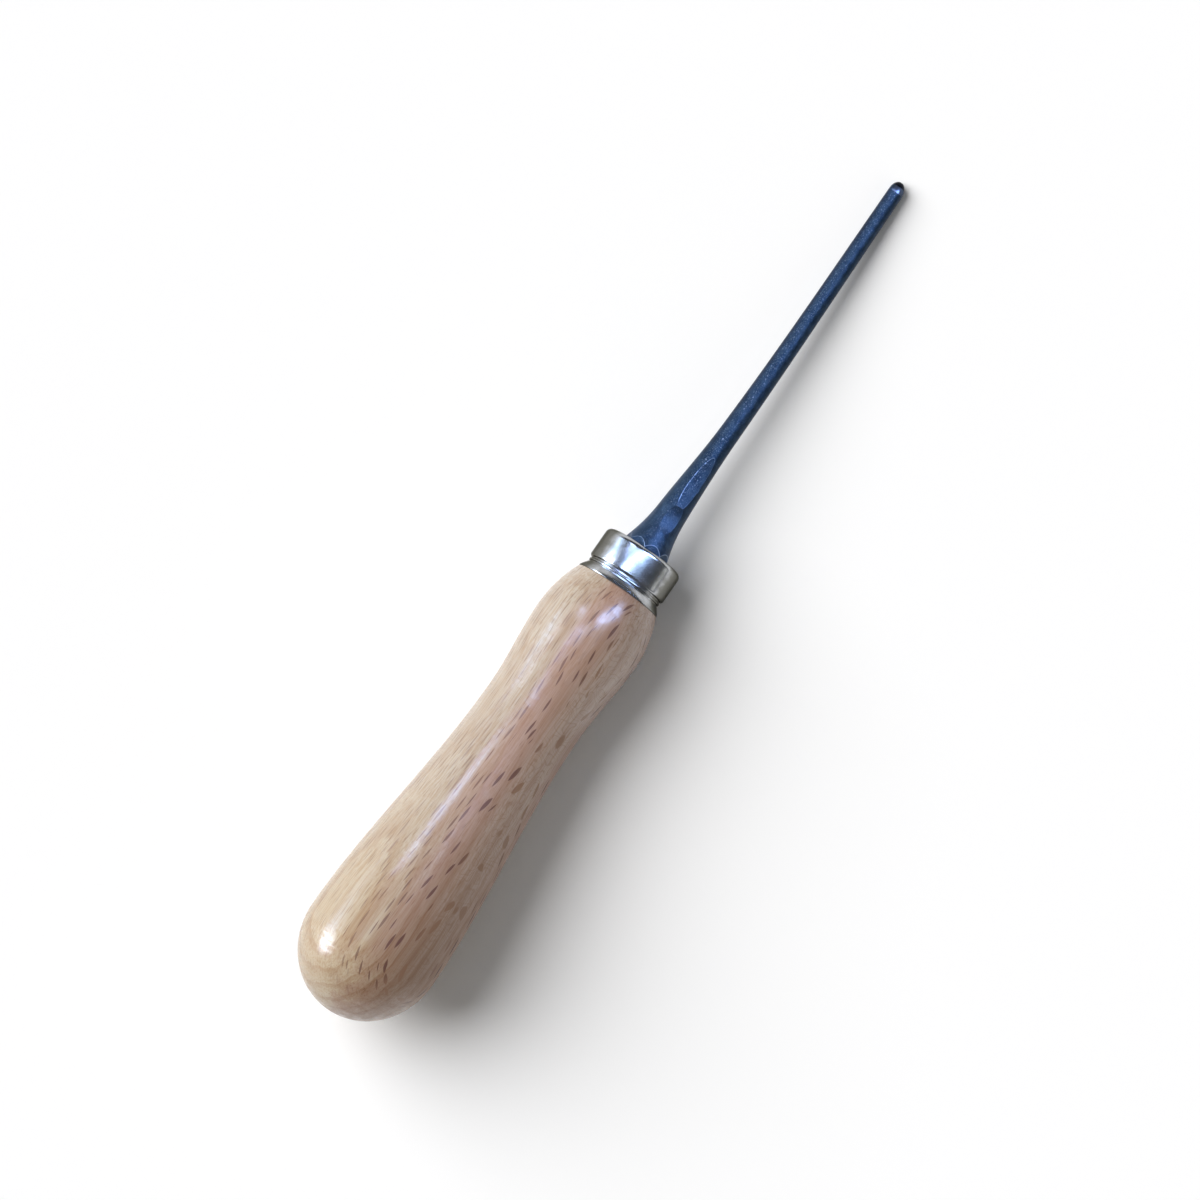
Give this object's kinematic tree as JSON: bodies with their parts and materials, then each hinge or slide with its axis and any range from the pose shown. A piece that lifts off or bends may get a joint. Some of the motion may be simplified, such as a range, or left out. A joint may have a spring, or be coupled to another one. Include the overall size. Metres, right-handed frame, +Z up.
{
  "type": "carving chisel",
  "caption": "Slim round-nosed carving chisel: dark forged blade with an octagonal bolster, pressed steel ferrule and turned beech palm handle.",
  "frame": {"origin": "on the floor under the middle of the tool's bounding box, with the tool lying on the belly and shoulder of its handle", "axes": "+X along the tool towards the blade, +Y to the left of the tool seen from the butt, +Z up"},
  "size_m": [0.1814, 0.026, 0.026],
  "materials": {
    "wood": "clear lacquered beech, satin gloss",
    "ferrule_steel": "turned and lightly brushed bare steel",
    "blade_steel": "blue-black forged finish, bare ground nose"
  },
  "bodies": {
    "root": {"handle": "wood", "ferrule": "ferrule_steel", "blade": "blade_steel"}
  },
  "joints": []
}
